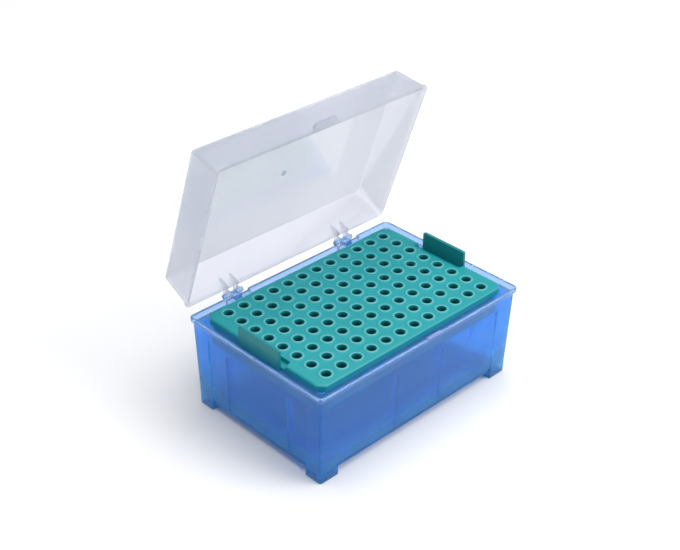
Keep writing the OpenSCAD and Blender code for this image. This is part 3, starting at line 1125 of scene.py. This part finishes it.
@dataclass
class Lid:
    """The clear lid: a shallow cover with leaning walls, a flange, hinge clips and a thumb tab.

    Sizes are those of the closed lid, and opened() turns its points to where it is stored. flange, foot
    and head are half sizes, along the length and across the width, and axis is the pins' (y, z).
    """

    open_degrees: float = 71.5
    axis: Pair = (45.3, 46.4)
    flange: Pair = (63.1, 42.0)
    flange_r: float = 3.0
    flange_z: Pair = (47.5, 48.8)
    flange_edge: Pair = (0.15, 0.2)
    foot: Pair = (62.2, 41.1)
    foot_fillet: float = 0.25
    head: Pair = (61.5, 38.95)
    head_r: float = 1.6
    shift: float = 0.65
    top_z: float = 65.4
    edge: float = 0.6
    edge_share: float = 0.3
    inner_r: tuple[float, float, float, float] = (0.3, 0.4, 0.6, 0.7)
    wall_t: float = 1.0
    lines_x: tuple[float, ...] = (0.0, 15.0, 30.0, 45.0, 56.0)
    lines_y: tuple[float, ...] = (0.0, 12.0, 24.0, 34.0)
    hinge_x: float = 35.4
    pin_r: float = 1.2
    pin_gap: float = 0.3
    clip_t: float = 1.1
    clip_half: float = 0.6
    clip_out: float = 3.0
    clip_edge: float = 0.12
    clip_steps: tuple[int, int] = (14, 10)
    mouth: float = 2.0
    mouth_angle: float = -45.0
    web_top: float = 53.9
    tab_x: float = -1.2
    tab_half: float = 6.75
    tab_reach: float = 2.0
    tab_root: float = 1.4
    tab_z: Pair = (48.8, 50.0)
    tab_edge: float = 0.25
    gate_sides: int = 24
    gate_profile: tuple[Pair, ...] = (
        (1.5, -0.2), (1.5, 0.06), (1.3, 0.16), (0.7, 0.2), (0.45, 0.1), (0.2, 0.08),
    )

    def opened(self, points: np.ndarray) -> np.ndarray:
        """Turn points from the closed lid to its stored open place, about the hinge pins' axis.

        Args:
            points: Points of the closed lid.

        Returns:
            The turned points.
        """
        a = -math.radians(self.open_degrees)
        y, z = points[:, 1] - self.axis[0], points[:, 2] - self.axis[1]
        turned_y = y * math.cos(a) - z * math.sin(a)
        turned_z = y * math.sin(a) + z * math.cos(a)
        return np.column_stack([points[:, 0], turned_y + self.axis[0], turned_z + self.axis[1]])

    def levels(self) -> list[Level]:
        """Return the outlines from the inside of its top, round the flange, to the outside.

        Returns:
            The outlines in order.
        """
        low, high = self.flange_z
        low_edge, high_edge = self.flange_edge
        t, e, part, fillet = self.wall_t, self.edge, self.edge_share * self.edge, self.foot_fillet
        r, top, under = self.head_r, self.top_z, self.top_z - self.wall_t
        return [
            grown(self.head, -t - e, self.inner_r[0], under, shift_y=self.shift),
            grown(self.head, -t - part, self.inner_r[1], under - part, shift_y=self.shift),
            grown(self.head, -t, self.inner_r[2], under - e, shift_y=self.shift),
            grown(self.foot, -t, self.inner_r[2], low + low_edge),
            grown(self.foot, low_edge - t, self.inner_r[3], low),
            grown(self.flange, -low_edge, self.flange_r - low_edge, low),
            grown(self.flange, 0.0, self.flange_r, low + low_edge),
            grown(self.flange, 0.0, self.flange_r, high - high_edge),
            grown(self.flange, -high_edge, self.flange_r - high_edge, high),
            grown(self.foot, fillet, r + fillet, high),
            grown(self.foot, 0.0, r, high + fillet),
            grown(self.head, 0.0, r, top - e, shift_y=self.shift),
            grown(self.head, -part, r - part, top - part, shift_y=self.shift),
            grown(self.head, -e, r - e, top, shift_y=self.shift),
        ]

    def clip(self, end: Side, way: Side) -> bpy.types.Object:
        """Build one snap clip: a hook round the pin whose web runs up the lid's wall.

        The web and the hook's two arms are arcs about the pin, and the arms stop at a mouth of fixed
        width, which takes asin(mouth / 2 / radius) off each arc.

        Args:
            end: The hinge that it belongs to.
            way: Its side of that hinge.

        Returns:
            The clip.
        """
        centre, low, z = self.axis, self.flange_z[0], self.axis[1]
        inner = self.pin_r + self.pin_gap
        outer = inner + self.clip_t
        turn, turn_in = (math.degrees(math.asin(self.mouth / 2 / r)) for r in (outer, inner))
        start, start_in = (180.0 - math.degrees(math.asin((low - z) / r)) for r in (outer, inner))
        wall = self.foot[1] - self.wall_t / 2
        web_steps, arm_steps = self.clip_steps
        web = np.concatenate([
            arc(centre, outer, self.mouth_angle + turn, 90.0, web_steps),
            [(wall, self.web_top), (wall, low)],
            arc(centre, inner, start_in, self.mouth_angle + turn_in, web_steps),
        ])
        far = self.mouth_angle + 360.0
        arm = np.concatenate([
            arc(centre, outer, start, far - turn, arm_steps),
            arc(centre, inner, far - turn_in, start_in, arm_steps),
        ])
        middle = end.value * self.hinge_x + way.value * self.clip_out
        low_x, high_x = middle - self.clip_half, middle + self.clip_half
        points, faces = joined(prism(web, low_x, high_x, Along.X), prism(arm, low_x, high_x, Along.X))
        name = f"hinge_clip_{end.value + 2}_{way.value + 2}"
        return make_piece(name, self.opened(points), faces, Body.LID, self.clip_edge)

    def tab(self) -> bpy.types.Object:
        """Build the thumb tab, a rounded plate that passes over the catch.

        Returns:
            The tab.
        """
        r, half, front = self.tab_reach, self.tab_half, -self.flange[1]
        outline = np.concatenate([
            [(half, front + self.tab_root), (-half, front + self.tab_root)],
            arc((r - half, front), r, 180.0, 270.0, ARC_STEPS),
            arc((half - r, front), r, 270.0, 360.0, ARC_STEPS),
        ])
        points, faces = prism(outline + (self.tab_x, 0.0), *self.tab_z, Along.Z)
        return make_piece("thumb_tab", self.opened(points), faces, Body.LID, self.tab_edge)

    def gate_mark(self) -> bpy.types.Object:
        """Build the small raised mark that the mould's gate leaves in the middle of the top.

        Returns:
            The mark.
        """
        points, faces = lathe(np.array(self.gate_profile), self.gate_sides)
        placed = self.opened(points + (0.0, self.shift, self.top_z))
        return make_piece("gate_mark", placed, faces, Body.LID)

    def build(self) -> None:
        """Build and dress the lid."""
        points, faces = skin(self.levels(), both_sides(*self.lines_x), both_sides(*self.lines_y))
        shell = make_piece("lid_shell", self.opened(points), faces, Body.LID)
        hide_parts(Body.LID.value)
        clips = [self.clip(end, way) for end in Side for way in Side]
        LID_CLEAR.dress(shell, *clips, self.tab(), self.gate_mark())


# --------------------------------------------------------------------------- stage


@dataclass(frozen=True)
class Lamp:
    """A square soft lamp: where it hangs and its side in metres, and its power in watts."""

    name: str
    place: Triple
    side: float
    watts: float

    def hang(self, aim: Vector) -> None:
        """Hang the lamp and point it.

        Args:
            aim: Where it points, in metres.
        """
        data = bpy.data.lights.new(self.name, "AREA")
        data.size = self.side
        data.energy = self.watts
        lamp = bpy.data.objects.new(self.name, data)
        lamp.location = self.place
        lamp.rotation_mode = "QUATERNION"
        lamp.rotation_quaternion = (aim - Vector(self.place)).to_track_quat("-Z", "Y")
        bpy.context.scene.collection.objects.link(lamp)


@dataclass
class Studio:
    """The pale floor, the soft lights and the camera."""

    focus_mm: float = 69.90
    sensor_mm: float = 36.0
    reach_m: Pair = (0.01, 50.0)
    place_mm: Triple = (-359.57, -352.55, 375.40)
    azimuth: float = -44.679
    elevation: float = 31.936
    roll: float = 0.805
    aim_m: Triple = (0.0, 0.0, 0.05)
    floor_m: float = 6.0
    floor_white: tuple[float, float, float, float] = (0.93, 0.93, 0.94, 1.0)
    floor_roughness: float = 0.9
    sky_strength: float = 0.4
    lamps: tuple[Lamp, ...] = (
        Lamp("key", (0.7, -1.1, 1.1), 1.0, 12.5),
        Lamp("top", (0.1, 0.0, 1.6), 1.6, 20.5),
    )

    def floor(self) -> None:
        """Lay a wide pale floor under the object."""
        far = self.floor_m
        mesh = bpy.data.meshes.new("floor")
        corners = [(-far, -far, 0), (far, -far, 0), (far, far, 0), (-far, far, 0)]
        mesh.from_pydata(corners, [], [(0, 1, 2, 3)])
        floor = bpy.data.objects.new("floor", mesh)
        bpy.context.scene.collection.objects.link(floor)
        paint = bpy.data.materials.new("floor_paint")
        paint.use_nodes = True
        shader = paint.node_tree.nodes["Principled BSDF"]
        shader.inputs["Base Color"].default_value = self.floor_white
        shader.inputs["Roughness"].default_value = self.floor_roughness
        mesh.materials.append(paint)

    def camera(self) -> None:
        """Set up the camera from its azimuth, elevation and roll."""
        a, e, r = (math.radians(v) for v in (self.azimuth, self.elevation, self.roll))
        back = Vector((math.sin(a) * math.cos(e), -math.cos(a) * math.cos(e), math.sin(e)))
        right = Vector((math.cos(a), math.sin(a), 0.0))
        up = back.cross(right)
        turned_right = right * math.cos(r) + up * math.sin(r)
        turned_up = up * math.cos(r) - right * math.sin(r)
        data = bpy.data.cameras.new("camera")
        data.lens = self.focus_mm
        data.sensor_width = self.sensor_mm
        data.clip_start, data.clip_end = self.reach_m
        camera = bpy.data.objects.new("camera", data)
        turn = Matrix((turned_right, turned_up, back)).transposed().to_4x4()
        camera.matrix_world = Matrix.Translation(Vector(self.place_mm) * MM) @ turn
        bpy.context.scene.collection.objects.link(camera)
        bpy.context.scene.camera = camera

    def build(self) -> None:
        """Set the stage."""
        scene = bpy.context.scene
        scene.view_settings.view_transform = "Standard"
        world = bpy.data.worlds.new("soft_room")
        scene.world = world
        world.use_nodes = True
        sky = world.node_tree.nodes["Background"]
        sky.inputs["Color"].default_value = (1.0, 1.0, 1.0, 1.0)
        sky.inputs["Strength"].default_value = self.sky_strength
        self.floor()
        for lamp in self.lamps:
            lamp.hang(Vector(self.aim_m))
        self.camera()


# --------------------------------------------------------------------------- main


def main() -> None:
    """Build the stage and every moulding, and report them."""
    logging.basicConfig(level=logging.INFO, format="%(message)s")
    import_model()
    Studio().build()
    for moulding in (Tub(), Rack(), Lid()):
        moulding.build()
        LOG.info("%s built", type(moulding).__name__.lower())


if __name__ == "__main__":
    main()
